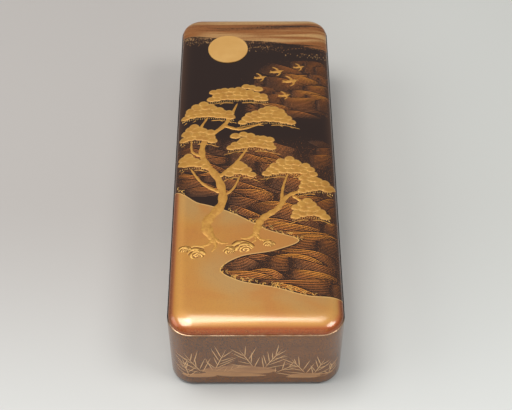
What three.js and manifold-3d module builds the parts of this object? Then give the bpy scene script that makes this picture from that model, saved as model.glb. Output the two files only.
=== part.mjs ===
// Fubako, a long Japanese letter box: a lacquered lid that slips down over a tray.
// Millimetres, +Z up, +Y along the box, origin at the middle of the underside.

import * as THREE from 'three';
import { mergeVertices } from 'three/addons/utils/BufferGeometryUtils.js';
import Module from 'manifold-3d';

const wasm = await Module();
wasm.setup();

// Lid, outside
const lidLength = 232;
const lidWidth = 90;
const cornerRadius = 12.5;
const ledgeHeight = 47.5;
const rimHeight = 1;
const lidWall = 2.8;

// Swelling top board of the lid, set in from the walls by a narrow ledge
const ledgeWidth = 0.8;
const edgeLip = 0.5;
const shoulderWidth = 11.5;
const shoulderRise = 4.2;
const crownRise = 1.6;
const topThickness = 3.2;
const plugDepth = 1.6;
const ceilingSeat = 4.4;
const shoulderFullnessShare = 0.91;
const cornerTighteningShare = 0.8;

// Tray
const slipClearance = 0.4;
const trayWall = 2.8;
const bottomThickness = 3.2;
const bottomFlange = 1.6;

// Joints between the boards
const seatGap = 0.3;
const fingerLength = 5;
const fingerBandCount = 5;

// Moon disc let into the lid
const moonRadius = 12;
const moonRecess = 0.5;
const moonProud = 0.25;
const moonPlaceShares = [-0.36, 0.74];

// Cord rings and their fittings
const ringWire = 1.5;
const ringRadius = 4.8;
const eyeWire = 0.9;
const eyePlay = 0.3;
const eyeHeight = 15;
const legGap = 0.3;
const seatPlateRadius = 4.5;
const seatPlateThickness = 0.6;
const seatPlateLobeCount = 8;
const lobeDepthShare = 0.07;
const washerRadius = 3.4;
const washerThickness = 0.5;
const clinchLength = 2.6;
const filletShare = 0.7;

// Thumb notches in the lid's long walls
const notchMargin = 2.5;
const notchHalfWidth = 17;
const notchRimRadius = 2;

// Facets
const arcSteps = 6;
const cornerSteps = 6;
const endSteps = 5;
const sideSteps = 10;
const shoulderSteps = 8;
const crownSteps = 6;
const ceilingSteps = 5;
const discSides = 32;
const wireSides = 8;
const ringSteps = 32;
const eyeSteps = 56;
const lobeSteps = 6;

// One overrun for every cut that runs out of its piece
const overrun = 2;

// Finishes: brown lacquer outside, black lacquer on the tray, gilt copper, gold leaf
const lidFinish = { color: 0x5a2f22, roughness: 0.28, metalness: 0 };
const trayFinish = { color: 0x2a1713, roughness: 0.28, metalness: 0 };
const giltFinish = { color: 0xb08d3f, roughness: 0.35, metalness: 1 };
const moonFinish = { color: 0xd0a463, roughness: 0.36, metalness: 0.5 };

// Sizes that follow from those above
const quarterTurn = Math.PI / 2;
const halfWidth = lidWidth / 2;
const halfLength = lidLength / 2;
const trayInset = lidWall + slipClearance;
const trayHalfWidth = halfWidth - trayInset;
const trayHalfLength = halfLength - trayInset;
const trayRadius = cornerRadius - trayInset;
const plugBottom = ledgeHeight - plugDepth;
const trayTop = plugBottom - seatGap;
const boardBase = ledgeHeight + seatGap;
const ceilingRise = plugDepth + seatGap + edgeLip + shoulderRise - topThickness;
const eyeInnerRadius = ringWire / 2 + eyePlay;
const eyeRadius = eyeInnerRadius + eyeWire / 2;
const plateOuterFace = trayHalfWidth + seatGap + seatPlateThickness;
const eyeReach = plateOuterFace + seatGap + eyeRadius;
const legOffset = (eyeWire + legGap) / 2;
const legHoleRadius = legOffset + eyeWire / 2 + seatGap;
const washerInnerFace = trayHalfWidth - trayWall - seatGap - washerThickness;
const clinchDepth = washerInnerFace - seatGap - eyeWire / 2;
const notchTop = eyeHeight + seatPlateRadius + notchMargin;

const box = new THREE.Group();
box.name = 'fubako';

// A closed geometry becomes a solid once its shared vertices are merged.
function solidOf(geometry) {
  const bare = geometry.clone();
  bare.deleteAttribute('normal');
  bare.deleteAttribute('uv');
  const merged = mergeVertices(bare);
  const vertProperties = new Float32Array(merged.attributes.position.array);
  const triVerts = new Uint32Array(merged.index.array);
  return new wasm.Manifold(new wasm.Mesh({ numProp: 3, vertProperties, triVerts }));
}

function geometryOf(solid) {
  const { vertProperties, triVerts } = solid.getMesh();
  const geometry = new THREE.BufferGeometry();
  geometry.setAttribute('position', new THREE.BufferAttribute(vertProperties, 3));
  geometry.setIndex(new THREE.BufferAttribute(triVerts, 1));
  return geometry;
}

function place(name, geometry, finish) {
  const material = new THREE.MeshStandardMaterial({ ...finish, flatShading: true });
  const mesh = new THREE.Mesh(geometry, material);
  mesh.name = name;
  box.add(mesh);
  return mesh;
}

function block(x0, x1, y0, y1, z0, z1) {
  const geometry = new THREE.BoxGeometry(x1 - x0, y1 - y0, z1 - z0);
  geometry.translate((x0 + x1) / 2, (y0 + y1) / 2, (z0 + z1) / 2);
  return solidOf(geometry);
}

function prism(shape, z0, z1) {
  const settings = { depth: z1 - z0, bevelEnabled: false, curveSegments: arcSteps };
  return new THREE.ExtrudeGeometry(shape, settings).translate(0, 0, z0);
}

function roundedRectangle(halfX, halfY, radius) {
  const shape = new THREE.Shape();
  const x = halfX - radius;
  const y = halfY - radius;
  shape.absarc(x, y, radius, 0, quarterTurn);
  shape.absarc(-x, y, radius, quarterTurn, 2 * quarterTurn);
  shape.absarc(-x, -y, radius, 2 * quarterTurn, 3 * quarterTurn);
  shape.absarc(x, -y, radius, 3 * quarterTurn, 4 * quarterTurn);
  shape.closePath();
  return shape;
}

// Corner joint: the height of a wall is cut into bands. Corner blocks own the even bands of each
// joint as fingers, boards own the odd ones.
function bandEdges(band, low, high) {
  const height = (high - low) / fingerBandCount;
  return [low + band * height, low + (band + 1) * height];
}

// A quarter ring with straight fingers on both sides, for the corner at +X +Y.
function cornerBlock(halfX, halfY, radius, wall, low, high) {
  const x = halfX - radius;
  const y = halfY - radius;
  const shape = new THREE.Shape();
  shape.moveTo(halfX, y - fingerLength);
  shape.lineTo(halfX, y);
  shape.absarc(x, y, radius, 0, quarterTurn);
  shape.lineTo(x - fingerLength, halfY);
  shape.lineTo(x - fingerLength, halfY - wall);
  shape.lineTo(x, halfY - wall);
  shape.absarc(x, y, radius - wall, quarterTurn, 0, true);
  shape.lineTo(halfX - wall, y - fingerLength);
  shape.closePath();
  let solid = solidOf(prism(shape, low, high));
  for (let band = 1; band < fingerBandCount; band += 2) {
    const [z0, z1] = bandEdges(band, low, high);
    const cutX = block(x - fingerLength - overrun, x, halfY - wall - overrun, halfY + overrun, z0, z1);
    const cutY = block(halfX - wall - overrun, halfX + overrun, y - fingerLength - overrun, y, z0, z1);
    solid = solid.subtract(cutX).subtract(cutY);
  }
  return solid;
}

// The sockets that a board along Y leaves for the fingers at both of its ends.
function fingerSockets(halfX, halfY, radius, wall, low, high) {
  const end = halfY - radius;
  const sockets = [];
  for (let band = 0; band < fingerBandCount; band += 2) {
    const [z0, z1] = bandEdges(band, low, high);
    const bottom = band === 0 ? z0 - overrun : z0 - seatGap;
    const top = band === fingerBandCount - 1 ? z1 + overrun : z1 + seatGap;
    for (const side of [-1, 1]) {
      const near = side * (end - fingerLength - seatGap);
      const far = side * (end + overrun);
      const [y0, y1] = side > 0 ? [near, far] : [far, near];
      sockets.push(block(halfX - wall - overrun, halfX + overrun, y0, y1, bottom, top));
    }
  }
  return sockets;
}

// A straight board standing at +X, running along Y between two corner blocks.
function wallBoard(halfX, halfY, radius, wall, low, high) {
  const end = halfY - radius - seatGap;
  let solid = block(halfX - wall, halfX, -end, end, low, high);
  for (const socket of fingerSockets(halfX, halfY, radius, wall, low, high)) {
    solid = solid.subtract(socket);
  }
  return solid;
}

// Four boards and four corner blocks that close a rounded wall, each turned or mirrored to its place.
function placeWall(prefix, halfX, halfY, radius, wall, low, high, finish, cutLongWall) {
  const longWall = cutLongWall(wallBoard(halfX, halfY, radius, wall, low, high));
  const endWall = wallBoard(halfY, halfX, radius, wall, low, high);
  const corner = cornerBlock(halfX, halfY, radius, wall, low, high);
  const cornerAcross = cornerBlock(halfY, halfX, radius, wall, low, high);
  place(`${prefix}_long_wall_right`, geometryOf(longWall), finish);
  place(`${prefix}_long_wall_left`, geometryOf(longWall), finish).rotation.z = 2 * quarterTurn;
  place(`${prefix}_end_wall_far`, geometryOf(endWall), finish).rotation.z = quarterTurn;
  place(`${prefix}_end_wall_near`, geometryOf(endWall), finish).rotation.z = -quarterTurn;
  place(`${prefix}_corner_far_right`, geometryOf(corner), finish);
  place(`${prefix}_corner_near_left`, geometryOf(corner), finish).rotation.z = 2 * quarterTurn;
  place(`${prefix}_corner_far_left`, geometryOf(cornerAcross), finish).rotation.z = quarterTurn;
  place(`${prefix}_corner_near_right`, geometryOf(cornerAcross), finish).rotation.z = -quarterTurn;
}

// Points round a rounded rectangle, the same number whatever its size.
function outlinePoints(halfX, halfY, radius, z) {
  const points = [];
  const corners = [[1, 1], [-1, 1], [-1, -1], [1, -1]];
  corners.forEach(([sideX, sideY], corner) => {
    const centreX = sideX * (halfX - radius);
    const centreY = sideY * (halfY - radius);
    for (let step = 0; step <= cornerSteps; step += 1) {
      const angle = quarterTurn * (corner + step / cornerSteps);
      const x = centreX + radius * Math.cos(angle);
      const y = centreY + radius * Math.sin(angle);
      points.push(new THREE.Vector3(x, y, z));
    }
    const [nextX, nextY] = corners[(corner + 1) % corners.length];
    const start = points[points.length - 1];
    const angle = quarterTurn * (corner + 1);
    const endX = nextX * (halfX - radius) + radius * Math.cos(angle);
    const endY = nextY * (halfY - radius) + radius * Math.sin(angle);
    const end = new THREE.Vector3(endX, endY, z);
    const steps = corner % 2 === 0 ? endSteps : sideSteps;
    for (let step = 1; step < steps; step += 1) {
      points.push(start.clone().lerp(end, step / steps));
    }
  });
  return points;
}

// A closed skin through rings of equal counts, from the lowest up, with a fan at each end.
function loft(rings, bottomZ, topZ) {
  const count = rings[0].length;
  const positions = [];
  const indices = [];
  rings.forEach((ring) => ring.forEach((point) => positions.push(point.x, point.y, point.z)));
  const bottomCentre = rings.length * count;
  const topCentre = bottomCentre + 1;
  positions.push(0, 0, bottomZ, 0, 0, topZ);
  for (let j = 0; j < count; j += 1) {
    const next = (j + 1) % count;
    for (let i = 0; i < rings.length - 1; i += 1) {
      const low = i * count;
      const high = low + count;
      indices.push(low + j, low + next, high + next, low + j, high + next, high + j);
    }
    const last = (rings.length - 1) * count;
    indices.push(bottomCentre, next, j, topCentre, last + j, last + next);
  }
  const geometry = new THREE.BufferGeometry();
  geometry.setAttribute('position', new THREE.Float32BufferAttribute(positions, 3));
  geometry.setIndex(indices);
  return geometry;
}

// Rings of a swelling skin: a superellipse shoulder, then a low crown that falls off both ways.
function swellingRings(halfX, halfY, radius, base, width, rise, steps) {
  const rings = [];
  const crown = (point) => crownRise * (1 - (point.x / halfX) ** 2) * (1 - (point.y / halfY) ** 2);
  for (let step = 0; step <= steps; step += 1) {
    const angle = quarterTurn * step / steps;
    const inset = width * (1 - Math.cos(angle) ** shoulderFullnessShare);
    const z = base + rise * Math.sin(angle) ** shoulderFullnessShare;
    rings.push(outlinePoints(halfX - inset, halfY - inset, radius - inset * cornerTighteningShare, z));
  }
  const innerX = halfX - width;
  const innerY = halfY - width;
  const innerRadius = radius - width * cornerTighteningShare;
  for (let step = 1; step < crownSteps; step += 1) {
    const scale = 1 - step / crownSteps;
    rings.push(outlinePoints(innerX * scale, innerY * scale, innerRadius * scale, base + rise));
  }
  rings.forEach((ring) => ring.forEach((point) => { point.z += crown(point); }));
  return rings;
}

// Top board: a plug that drops between the walls, then the board that swells above the ledge.
function topBoardSkin() {
  const plugInset = lidWall + seatGap;
  const plug = [halfWidth - plugInset, halfLength - plugInset, cornerRadius - plugInset];
  const board = [halfWidth - ledgeWidth, halfLength - ledgeWidth, cornerRadius - ledgeWidth];
  const rings = [
    outlinePoints(...plug, plugBottom),
    outlinePoints(...plug, boardBase),
    outlinePoints(...board, boardBase),
    ...swellingRings(...board, boardBase + edgeLip, shoulderWidth, shoulderRise, shoulderSteps),
  ];
  return loft(rings, plugBottom, boardBase + edgeLip + shoulderRise + crownRise);
}

// The hollow under the top board follows the swelling above it.
function ceilingHollow() {
  const inset = lidWall + seatGap + ceilingSeat;
  const hollow = [halfWidth - inset, halfLength - inset, cornerRadius - inset * cornerTighteningShare];
  const width = shoulderWidth - ceilingSeat;
  const rings = [
    outlinePoints(...hollow, plugBottom - overrun),
    ...swellingRings(...hollow, plugBottom, width, ceilingRise, ceilingSteps),
  ];
  return solidOf(loft(rings, plugBottom - overrun, plugBottom + ceilingRise + crownRise));
}

// Moon disc: a thin plate that follows the swelling, let into a recess of even depth.
const [moonShareX, moonShareY] = moonPlaceShares;
const moonX = moonShareX * halfWidth;
const moonY = moonShareY * halfLength;

function moonColumn(radius) {
  const column = new THREE.CylinderGeometry(radius, radius, ledgeHeight, discSides);
  column.rotateX(quarterTurn).translate(moonX, moonY, boardBase + ledgeHeight / 2);
  return solidOf(column);
}

const topSkin = solidOf(topBoardSkin());
const recessFloor = solidOf(topBoardSkin().translate(0, 0, -moonRecess));
const discUnderside = solidOf(topBoardSkin().translate(0, 0, seatGap - moonRecess));
const discFace = solidOf(topBoardSkin().translate(0, 0, moonProud));
const recess = moonColumn(moonRadius + seatGap).subtract(recessFloor);
const moonDisc = moonColumn(moonRadius).intersect(discFace).subtract(discUnderside);
place('lid_top_board', geometryOf(topSkin.subtract(ceilingHollow()).subtract(recess)), lidFinish);
place('moon_disc', geometryOf(moonDisc), moonFinish);

// Thumb notch: a half ellipse that rises from the rim, its lower corners rounded.
function thumbNotch() {
  const shape = new THREE.Shape();
  const shoulder = notchHalfWidth + notchRimRadius;
  const rimTop = rimHeight + notchRimRadius;
  shape.moveTo(-shoulder, rimHeight - overrun);
  shape.lineTo(shoulder, rimHeight - overrun);
  shape.lineTo(shoulder, rimHeight);
  shape.absarc(shoulder, rimTop, notchRimRadius, -quarterTurn, -2 * quarterTurn, true);
  shape.absellipse(0, rimTop, notchHalfWidth, notchTop - rimTop, 0, 2 * quarterTurn);
  shape.absarc(-shoulder, rimTop, notchRimRadius, 0, -quarterTurn, true);
  shape.closePath();
  const depth = lidWall + 2 * overrun;
  const settings = { depth, bevelEnabled: false, curveSegments: 2 * arcSteps };
  const geometry = new THREE.ExtrudeGeometry(shape, settings);
  geometry.rotateX(quarterTurn).rotateZ(quarterTurn).translate(halfWidth - lidWall - overrun, 0, 0);
  return solidOf(geometry);
}

const cutNotch = (board) => board.subtract(thumbNotch());
placeWall('lid', halfWidth, halfLength, cornerRadius, lidWall, rimHeight, ledgeHeight, lidFinish, cutNotch);

// Tray bottom: a flange that carries the walls, with a raised panel between them.
function bottomBoard() {
  const flange = roundedRectangle(trayHalfWidth, trayHalfLength, trayRadius);
  const inset = trayWall + seatGap;
  const panel = roundedRectangle(trayHalfWidth - inset, trayHalfLength - inset, trayRadius - inset);
  return solidOf(prism(flange, 0, bottomFlange)).add(solidOf(prism(panel, 0, bottomThickness)));
}

place('tray_bottom_board', geometryOf(bottomBoard()), trayFinish);

// A round hole along X through the tray's wall, for the two legs of the eye.
function legHole() {
  const length = trayWall + 2 * overrun;
  const geometry = new THREE.CylinderGeometry(legHoleRadius, legHoleRadius, length, discSides / 2);
  geometry.rotateZ(quarterTurn).translate(trayHalfWidth - trayWall / 2, 0, eyeHeight);
  return solidOf(geometry);
}

const drill = (board) => board.subtract(legHole());
const trayBase = bottomFlange + seatGap;
placeWall('tray', trayHalfWidth, trayHalfLength, trayRadius, trayWall, trayBase, trayTop, trayFinish, drill);

// Seat plate outside the wall: a thin flower-edged plate with a hole for the legs.
function seatPlate() {
  const shape = new THREE.Shape();
  const steps = seatPlateLobeCount * lobeSteps;
  for (let step = 0; step < steps; step += 1) {
    const angle = 4 * quarterTurn * step / steps;
    const lobe = Math.abs(Math.cos(angle * seatPlateLobeCount / 2));
    const radius = seatPlateRadius * (1 - lobeDepthShare * (1 - lobe));
    const point = [radius * Math.cos(angle), radius * Math.sin(angle)];
    if (step === 0) shape.moveTo(...point);
    else shape.lineTo(...point);
  }
  shape.closePath();
  const hole = new THREE.Path();
  hole.absarc(0, 0, legHoleRadius, 0, 4 * quarterTurn, true);
  shape.holes.push(hole);
  return prism(shape, 0, seatPlateThickness);
}

function washer() {
  const shape = new THREE.Shape();
  shape.absarc(0, 0, washerRadius, 0, 4 * quarterTurn);
  const hole = new THREE.Path();
  hole.absarc(0, 0, legHoleRadius, 0, 4 * quarterTurn, true);
  shape.holes.push(hole);
  return prism(shape, 0, washerThickness);
}

// An arc in the XZ plane, turning about a centre.
class ArcXZ extends THREE.Curve {
  constructor(x, z, radius, from, to) {
    super();
    Object.assign(this, { x, z, radius, from, to });
  }

  getPoint(t, target = new THREE.Vector3()) {
    const angle = this.from + (this.to - this.from) * t;
    return target.set(this.x + this.radius * Math.cos(angle), 0, this.z + this.radius * Math.sin(angle));
  }
}

// The eye is one wire: a clinched leg, a leg through the wall, a fillet, the loop, and back again.
function eyePin() {
  const bend = eyeWire;
  const fillet = eyeWire * filletShare;
  const filletZ = legOffset + fillet;
  const filletX = eyeReach - Math.sqrt((eyeRadius + fillet) ** 2 - filletZ ** 2);
  const spread = Math.atan2(filletZ, eyeReach - filletX);
  const legStart = clinchDepth + bend;
  const tip = legOffset + bend + clinchLength;
  const half = 2 * quarterTurn;
  const path = new THREE.CurvePath();
  const line = (x0, z0, x1, z1) => {
    path.add(new THREE.LineCurve3(new THREE.Vector3(x0, 0, z0), new THREE.Vector3(x1, 0, z1)));
  };
  line(clinchDepth, tip, clinchDepth, legOffset + bend);
  path.add(new ArcXZ(legStart, legOffset + bend, bend, half, half + quarterTurn));
  line(legStart, legOffset, filletX, legOffset);
  path.add(new ArcXZ(filletX, filletZ, fillet, -quarterTurn, -spread));
  path.add(new ArcXZ(eyeReach, 0, eyeRadius, half - spread, spread - half));
  path.add(new ArcXZ(filletX, -filletZ, fillet, spread, quarterTurn));
  line(filletX, -legOffset, legStart, -legOffset);
  path.add(new ArcXZ(legStart, -legOffset - bend, bend, quarterTurn, half));
  line(clinchDepth, -legOffset - bend, clinchDepth, -tip);
  const section = new THREE.Shape();
  section.absarc(0, 0, eyeWire / 2, 0, 2 * half);
  const settings = { steps: eyeSteps, extrudePath: path, curveSegments: wireSides / 2, bevelEnabled: false };
  return new THREE.ExtrudeGeometry(section, settings);
}

// The fittings of one long side; the other side is turned half round the box's middle.
for (const [side, turn] of [['right', 0], ['left', 2 * quarterTurn]]) {
  const fitting = new THREE.Group();
  fitting.rotation.z = turn;
  box.add(fitting);
  const plate = place(`ring_seat_plate_${side}`, seatPlate().rotateY(quarterTurn), giltFinish);
  plate.position.set(trayHalfWidth + seatGap, 0, eyeHeight);
  const inner = place(`ring_washer_${side}`, washer().rotateY(quarterTurn), giltFinish);
  inner.position.set(washerInnerFace, 0, eyeHeight);
  const eye = place(`ring_eye_${side}`, eyePin(), giltFinish);
  eye.position.set(0, 0, eyeHeight);
  const torus = new THREE.TorusGeometry(ringRadius, ringWire / 2, wireSides, ringSteps);
  const ring = place(`cord_ring_${side}`, torus.rotateY(quarterTurn), giltFinish);
  ring.position.set(eyeReach, 0, eyeHeight - ringRadius);
  fitting.add(plate, inner, eye, ring);
}

export default box;
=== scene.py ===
import math

import bmesh
import bpy
import numpy as np
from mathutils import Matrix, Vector


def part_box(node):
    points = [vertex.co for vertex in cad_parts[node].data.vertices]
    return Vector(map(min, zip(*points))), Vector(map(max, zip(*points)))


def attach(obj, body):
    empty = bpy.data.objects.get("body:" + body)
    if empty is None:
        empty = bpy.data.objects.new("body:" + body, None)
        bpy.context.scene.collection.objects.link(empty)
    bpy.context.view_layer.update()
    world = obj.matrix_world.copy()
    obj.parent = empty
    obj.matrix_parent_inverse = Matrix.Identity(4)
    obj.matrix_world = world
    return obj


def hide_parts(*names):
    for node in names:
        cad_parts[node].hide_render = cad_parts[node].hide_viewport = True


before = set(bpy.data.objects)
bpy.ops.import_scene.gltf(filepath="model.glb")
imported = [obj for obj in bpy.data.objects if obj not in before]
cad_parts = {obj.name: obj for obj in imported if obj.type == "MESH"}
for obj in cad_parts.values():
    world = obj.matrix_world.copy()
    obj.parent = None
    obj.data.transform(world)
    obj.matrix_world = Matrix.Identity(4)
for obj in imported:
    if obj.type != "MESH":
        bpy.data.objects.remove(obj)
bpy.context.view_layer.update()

scene = bpy.context.scene

# Camera. The photograph looks down the length of the box from 51 degrees above the table and
# a little over half a metre away, with a longish lens.
photo_width = 512
focal_pixels = 1115
sensor_width = 36
elevation = math.radians(50.8)
yaw = math.radians(0.22)
aim = Vector((0.0004, -0.0151, 0.027))
camera_distance = 0.634

camera_data = bpy.data.cameras.new("camera")
camera_data.sensor_width = sensor_width
camera_data.lens = focal_pixels * sensor_width / photo_width
camera = bpy.data.objects.new("camera", camera_data)
bpy.context.collection.objects.link(camera)
level = math.cos(elevation)
looking = Vector((math.sin(yaw) * level, math.cos(yaw) * level, -math.sin(elevation)))
camera.location = aim - looking * camera_distance
camera.rotation_euler = looking.to_track_quat("-Z", "Y").to_euler()
scene.camera = camera
scene.view_settings.view_transform = "Standard"


# Studio: a pale table that runs on behind, its colour painted darker to the left and part way darker
# just right of the box, and paler further right and towards the near side, as painted light and shade;
# two soft lamps side by side overhead and a little behind, a wide one to the left with another low
# beside it, a small one to the right, a faint one in front, and an even grey surround.
# The floor's colours and fades are painted light and shade, not the table's own colour.
floor_near_painted_light = (0.665, 0.69, 0.72, 1)
floor_left_painted_shade = (0.405, 0.39, 0.398, 1)
floor_right_painted_light = (0.495, 0.508, 0.52, 1)
floor_half = 6.0
painted_light_across = (-0.10, 0.17)
painted_light_along = (-0.24, 0.02)
surround_colour = (0.62, 0.62, 0.61, 1)
surround_strength = 0.45
lamp_colour = (1.0, 0.975, 0.89)
# Each lamp's name, width, depth, power and place.
lamps = [
    ("soft_lamp", 0.56, 0.5, 7.0, (-0.40, -0.04, 1.2)),
    ("low_lamp", 0.9, 0.7, 4.5, (-1.15, -0.15, 0.75)),
    ("square_lamp", 0.52, 0.46, 6.6, (0.75, -0.3, 1.2)),
    ("overhead_lamp", 0.36, 0.34, 2.3, (-0.14, 0.14, 1.15)),
    ("overhead_lamp_right", 0.22, 0.34, 0.75, (0.14, 0.14, 1.15)),
    ("front_lamp", 1.2, 1.2, 3.8, (0, -1.5, 0.75))]


class Wire:
    """One output socket of a material. Python's operators on it add Math nodes, and node() adds any
    other kind, its settings first and then its inputs."""

    def __init__(self, tree, socket=None):
        self.tree = tree
        self.socket = socket

    def node(self, kind, settings=None, inputs=None, output=0):
        made = self.tree.nodes.new("ShaderNode" + kind)
        for name, value in (settings or {}).items():
            if name == "stops":
                ramp = made.color_ramp.elements
                while len(ramp) < len(value):
                    ramp.new(1)
                for element, (position, colour) in zip(ramp, value):
                    element.position = position
                    element.color = colour
            else:
                setattr(made, name, value)
        self.feed(made, inputs or {})
        return Wire(self.tree, made.outputs[output])

    def feed(self, made, inputs):
        """Links or sets the inputs of a node, by name."""
        for name, value in inputs.items():
            if isinstance(value, Wire):
                self.tree.links.new(value.socket, made.inputs[name])
            else:
                made.inputs[name].default_value = value

    def math(self, operation, *values):
        return self.node("Math", {"operation": operation}, dict(enumerate(values)))

    def __add__(self, other):
        return self.math("ADD", self, other)

    def __radd__(self, other):
        return self.math("ADD", other, self)

    def __sub__(self, other):
        return self.math("SUBTRACT", self, other)

    def __rsub__(self, other):
        return self.math("SUBTRACT", other, self)

    def __mul__(self, other):
        return self.math("MULTIPLY", self, other)

    def __rmul__(self, other):
        return self.math("MULTIPLY", other, self)

    def __lt__(self, other):
        return self.math("LESS_THAN", self, other)

    def __gt__(self, other):
        return self.math("GREATER_THAN", self, other)

    def larger(self, other):
        return self.math("MAXIMUM", self, other)

    def axis(self, index):
        """One coordinate of a place."""
        return self.node("SeparateXYZ", None, {"Vector": self}, index)

    def field(self, name):
        """The mesh's own value of that name at each point."""
        return self.node("Attribute", {"attribute_name": name}, None, 2)

    def step(self, low, high):
        """0 below low, 1 above high, smooth between."""
        shape = {"interpolation_type": "SMOOTHSTEP"}
        return self.node("MapRange", shape, {"Value": self, "From Min": low, "From Max": high})

    def noise(self, scale, detail=2, distortion=0):
        """Cloudy noise from 0 to 1 over a place."""
        inputs = {"Vector": self, "Scale": scale, "Detail": detail, "Distortion": distortion}
        return self.node("TexNoise", None, inputs)

    def mix(self, first, second):
        """Colour between first and second, by this wire."""
        return self.node("Mix", {"data_type": "RGBA"}, {"Factor": self, 6: first, 7: second}, 2)

    def bump(self, strength, distance):
        """Normal of a surface whose height is this wire."""
        return self.node("Bump", None, {"Height": self, "Strength": strength, "Distance": distance})


def material(name, paint):
    """A new material. paint(place) returns the Principled BSDF's inputs by name; place is the wire of
    Object coordinates."""
    made = bpy.data.materials.new(name)
    made.use_nodes = True
    shader = next(node for node in made.node_tree.nodes if node.type == "BSDF_PRINCIPLED")
    place = Wire(made.node_tree).node("TexCoord", output=3)
    place.feed(shader, paint(place))
    return made


def floor_paint(place):
    """Painted light and shade: darker to the left and part way darker just right of the box, paler further
    right and again towards the near side.
    """
    colour = place.axis(0).step(*painted_light_across).mix(floor_left_painted_shade, floor_right_painted_light)
    colour = place.axis(1).step(*painted_light_along).mix(floor_near_painted_light, colour)
    return {"Base Color": colour, "Roughness": 0.7, "Specular IOR Level": 0.2}


floor_mesh = bpy.data.meshes.new("floor")
floor_corners = [(x * floor_half, y * floor_half, 0) for x, y in ((-1, -1), (1, -1), (1, 1), (-1, 1))]
floor_mesh.from_pydata(floor_corners, [], [(0, 1, 2, 3)])
floor_mesh.materials.append(material("floor", floor_paint))
floor = bpy.data.objects.new("floor", floor_mesh)
bpy.context.collection.objects.link(floor)

for name, width, depth, power, at in lamps:
    lamp = bpy.data.lights.new(name, "AREA")
    lamp.shape = "RECTANGLE"
    lamp.size = width
    lamp.size_y = depth
    lamp.energy = power
    lamp.color = lamp_colour
    placed = bpy.data.objects.new(name, lamp)
    bpy.context.collection.objects.link(placed)
    placed.location = at
    placed.rotation_euler = (-Vector(at)).to_track_quat("-Z", "Y").to_euler()

world = bpy.data.worlds.new("surround")
world.use_nodes = True
scene.world = world
world.node_tree.nodes["Background"].inputs["Color"].default_value = surround_colour
world.node_tree.nodes["Background"].inputs["Strength"].default_value = surround_strength


# Lid, swelling board. A carved board under many coats of lacquer: a bull-nosed shoulder that
# rises from a narrow ledge, then a low crown that falls off towards all four sides. The lacquer
# lies a relief's depth below the board's top, which the raised gold then reaches.
mm = 0.001
board_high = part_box("lid_top_board")[1]
wall_low, wall_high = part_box("lid_long_wall_right")
plan_x = wall_high.x
plan_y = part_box("lid_end_wall_far")[1].y
lid_wall = wall_high.x - wall_low.x
ledge_z = wall_high.z
rim_z = wall_low.z
swell_x = board_high.x
swell_y = board_high.y
plan_radius = 12.5 * mm
swell_radius = plan_radius - (plan_x - swell_x)
shoulder_width = 11.5 * mm
relief = 0.5 * mm
crown_rise = 1.6 * mm - relief
board_gap = 0.3 * mm
lip_rise = 0.5 * mm
swell_z = ledge_z + board_gap + lip_rise
shoulder_rise = board_high.z - relief - crown_rise - swell_z
fullness = 0.91
tightening = 0.8
lip_width = 2 * mm
lip_sunk = 0.1 * mm
ceiling_inset = lid_wall + np.array([0.2, 0.2, 1.2, 3.5, 7, 12, 20]) * mm
ceiling_drop = np.array([2.4, 1.6, 0.6, -0.5, -1.6, -2.6, -3.3]) * mm
ceiling_corner = 1 * mm
ceiling_middle_rise = 3.8 * mm
corner_steps = 16
side_steps = 340
end_steps = 120
shoulder_rings = 22
crown_rings = 56
halvings = 26
weld = 1e-7


def rim_table(steps, side_shares, end_shares):
    """Samples once round a rounded rectangle, anticlockwise from +X: the share of the straight half
    side in X and Y, and the cosine and sine of the outward direction."""
    quarter = np.linspace(0, math.pi / 2, steps + 1)
    rows = []
    for turn, (x, y) in enumerate([(1, 1), (-1, 1), (-1, -1), (1, -1)]):
        angle = quarter + turn * math.pi / 2
        corner = np.ones_like(angle)
        rows.append(np.stack([corner * x, corner * y, np.cos(angle), np.sin(angle)], 1))
        to_end = turn % 2 == 0
        along = 1 - 2 * (end_shares if to_end else side_shares)[1:-1]
        flat = np.ones_like(along)
        straight = [along * x, flat * y] if to_end else [flat * x, along * y]
        facing = (turn + 1) * math.pi / 2
        rows.append(np.stack([*straight, flat * math.cos(facing), flat * math.sin(facing)], 1))
    return np.concatenate(rows)


def rounded_rings(table, half_x, half_y, radius, z):
    """One closed ring for each entry of the arrays half_x, half_y, radius and z: corner centres lie a
    radius inside the sides, and each point a radius out from them."""
    half_x, half_y, radius, z = (np.asarray(v, float).reshape(-1, 1) for v in (half_x, half_y, radius, z))
    x = table[:, 0] * (half_x - radius) + table[:, 2] * radius
    y = table[:, 1] * (half_y - radius) + table[:, 3] * radius
    return np.stack([x, y, z + np.zeros_like(x)], -1)


def swelling(x, y):
    """Height of the lid's top over a place in plan. The inset from the edge, found by halving, gives a
    superellipse quarter over the shoulder; a product of two parabolas is the crown."""
    low = np.zeros_like(x)
    high = np.full_like(x, shoulder_width)
    for _ in range(halvings):
        middle = (low + high) / 2
        radius = swell_radius - tightening * middle
        out_x = np.abs(x) - (swell_x - middle - radius)
        out_y = np.abs(y) - (swell_y - middle - radius)
        outside = np.hypot(np.maximum(out_x, 0), np.maximum(out_y, 0))
        outside += np.minimum(np.maximum(out_x, out_y), 0)
        inside = outside <= radius
        low = np.where(inside, middle, low)
        high = np.where(inside, high, middle)
    cosine = np.clip(1 - low / shoulder_width, 0, 1) ** (1 / fullness)
    rise = shoulder_rise * np.sqrt(1 - cosine ** 2) ** fullness
    crown = crown_rise * np.clip(1 - (x / swell_x) ** 2, 0, 1) * np.clip(1 - (y / swell_y) ** 2, 0, 1)
    return swell_z + rise + crown


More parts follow.
